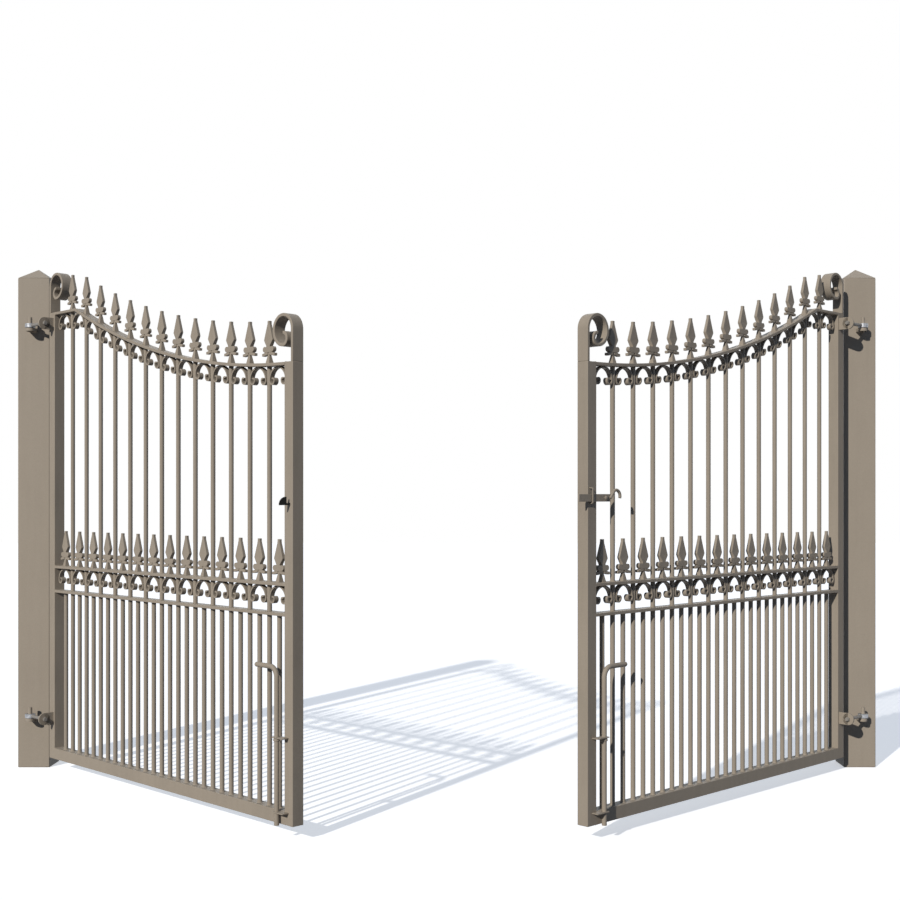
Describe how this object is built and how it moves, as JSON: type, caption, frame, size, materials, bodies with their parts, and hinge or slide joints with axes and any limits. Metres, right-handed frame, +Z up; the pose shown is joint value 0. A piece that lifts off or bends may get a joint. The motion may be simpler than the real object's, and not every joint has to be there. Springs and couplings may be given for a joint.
{
  "type": "double driveway gate",
  "caption": "Double swing driveway gate of painted steel bars with spear heads and scrolled arches, hung on square posts, with drop bolts and a lift latch.",
  "frame": {"origin": "centre of the left post's base face, at ground level", "axes": "+X from the left post to the right post, +Y through the gateway away from the viewer, +Z up"},
  "size_m": [4.054, 1.5972, 2.363],
  "materials": {
    "painted_steel": "satin",
    "galvanised_steel": "satin"
  },
  "bodies": {
    "posts": {"left_hinge_pins": "painted_steel", "left_post": "painted_steel", "left_post_cap": "painted_steel", "right_hinge_pins": "painted_steel", "right_post": "painted_steel", "right_post_cap": "painted_steel"},
    "left_leaf": {"left_bolt_guides": "painted_steel", "left_bottom_rail": "painted_steel", "left_dog_bars": "painted_steel", "left_hanging_stile": "painted_steel", "left_hinge_eyes": "galvanised_steel", "left_hinge_plates": "painted_steel", "left_long_bars": "painted_steel", "left_lower_mid_rail": "painted_steel", "left_meeting_stile": "painted_steel", "left_mid_arches": "painted_steel", "left_mid_spears": "painted_steel", "left_top_arches": "painted_steel", "left_top_rail": "painted_steel", "left_top_spears": "painted_steel", "left_upper_mid_rail": "painted_steel", "latch_catch": "painted_steel"},
    "right_leaf": {"right_bolt_guides": "painted_steel", "right_bottom_rail": "painted_steel", "right_dog_bars": "painted_steel", "right_hanging_stile": "painted_steel", "right_hinge_eyes": "galvanised_steel", "right_hinge_plates": "painted_steel", "right_long_bars": "painted_steel", "right_lower_mid_rail": "painted_steel", "right_meeting_stile": "painted_steel", "right_mid_arches": "painted_steel", "right_mid_spears": "painted_steel", "right_top_arches": "painted_steel", "right_top_rail": "painted_steel", "right_top_spears": "painted_steel", "right_upper_mid_rail": "painted_steel", "latch_plate": "painted_steel", "latch_staple": "painted_steel"},
    "left_drop_bolt": {"left_drop_bolt": "painted_steel"},
    "right_drop_bolt": {"right_drop_bolt": "painted_steel"},
    "latch_lever": {"latch_lever": "painted_steel"}
  },
  "joints": [
    {"name": "left_leaf_swing", "type": "hinge", "parent": "posts", "child": "left_leaf", "pos_m": [0, -0.125, 0], "axis": [0, 0, 1], "range_deg": [-45, 45]},
    {"name": "right_leaf_swing", "type": "hinge", "parent": "posts", "child": "right_leaf", "pos_m": [3.904, -0.125, 0], "axis": [0, 0, -1], "range_deg": [-45, 45]},
    {"name": "left_bolt_drop", "type": "slide", "parent": "left_leaf", "child": "left_drop_bolt", "axis": [0, 0, 1], "range_m": [-0.14, 0]},
    {"name": "right_bolt_drop", "type": "slide", "parent": "right_leaf", "child": "right_drop_bolt", "axis": [0, 0, 1], "range_m": [-0.14, 0]},
    {"name": "latch_lift", "type": "hinge", "parent": "right_leaf", "child": "latch_lever", "pos_m": [2.56545, -1.41123, 1.276], "axis": [-0.7071, 0.7071, 0], "range_deg": [0, 12]}
  ]
}
